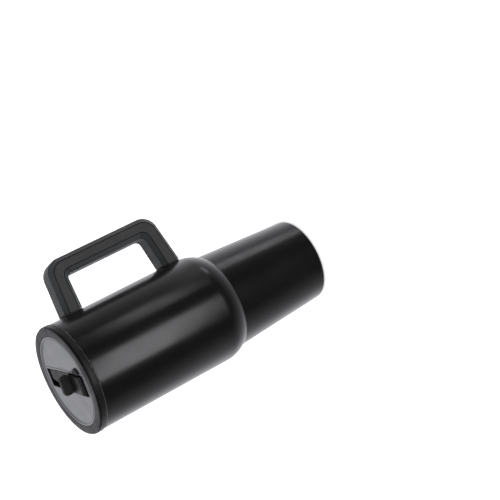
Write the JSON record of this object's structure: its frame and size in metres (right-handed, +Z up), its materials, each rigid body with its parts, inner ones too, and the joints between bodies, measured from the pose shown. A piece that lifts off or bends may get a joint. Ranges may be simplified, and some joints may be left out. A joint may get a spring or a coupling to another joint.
{
  "type": "insulated travel tumbler",
  "caption": "Insulated steel travel tumbler with a narrow cup-holder base, a layered side handle and a press-in lid whose flip closure seals the sip hole.",
  "frame": {"origin": "on the cup's axis, at the underside of the rubber foot the cup stands on", "axes": "+Z up the cup's axis to the lid, +X from the axis to the handle, +Y completes the right-handed frame"},
  "size_m": [0.1501, 0.102, 0.2672],
  "materials": {
    "body_coat": "black powder coat, soft gloss with a very fine grain",
    "liner_steel": "turned and electropolished stainless steel",
    "rim_steel": "rolled bare stainless lip, finely turned",
    "hidden_steel": "plain stamped steel",
    "foot_rubber": "matte black rubber",
    "handle_core": "dark grey moulded plastic, fine texture",
    "handle_skin": "soft-touch black-grey plastic",
    "lid_black": "satin black plastic",
    "lid_grey": "smoky grey plastic, satin",
    "lever_black": "smooth black plastic, half gloss",
    "tab_rubber": "matte soft rubber, lightly grained",
    "stopper_rubber": "smooth matte silicone, black",
    "silicone": "grey food-grade silicone",
    "pin_steel": "ground steel pin",
    "nylon": "natural nylon"
  },
  "bodies": {
    "cup": {"outer_shell": "body_coat", "inner_liner": "liner_steel", "rim_ring": "rim_steel", "base_cap": "body_coat", "foot_pad": "foot_rubber", "seal_bead": "hidden_steel", "getter": "hidden_steel", "handle_core": "handle_core", "handle_inner": "handle_skin", "handle_outer": "handle_skin", "leg_pad_upper": "foot_rubber", "leg_pad_lower": "foot_rubber", "bracket_upper": "hidden_steel", "bracket_lower": "hidden_steel", "screw_upper": "hidden_steel", "screw_lower": "hidden_steel"},
    "lid_seals": {"gasket_upper": "silicone", "gasket_lower": "silicone"},
    "lid": {"lid_ring": "lid_black", "lid_disc": "lid_grey", "slot_well": "lid_black", "lid_floor": "lid_black", "drink_grommet": "silicone", "vent_valve": "silicone", "hinge_pin": "pin_steel", "washer_front": "nylon", "washer_back": "nylon", "pin_cover": "lid_black"},
    "flip_closure": {"flip_lever": "lever_black", "thumb_tab": "tab_rubber", "lever_stopper": "stopper_rubber"}
  },
  "joints": [
    {"name": "lid_lift", "type": "slide", "parent": "cup", "child": "lid_seals", "axis": [0, 0, 1], "range_m": [0, 0.06]},
    {"name": "lid_turn", "type": "hinge", "parent": "lid_seals", "child": "lid", "pos_m": [0, 0, 0.2585], "axis": [0, 0, 1], "continuous": true},
    {"name": "closure_flip", "type": "hinge", "parent": "lid", "child": "flip_closure", "pos_m": [-0.00944, -0.02422, 0.2527], "axis": [0.9317, -0.3633, 0], "range_deg": [0, 105]}
  ]
}
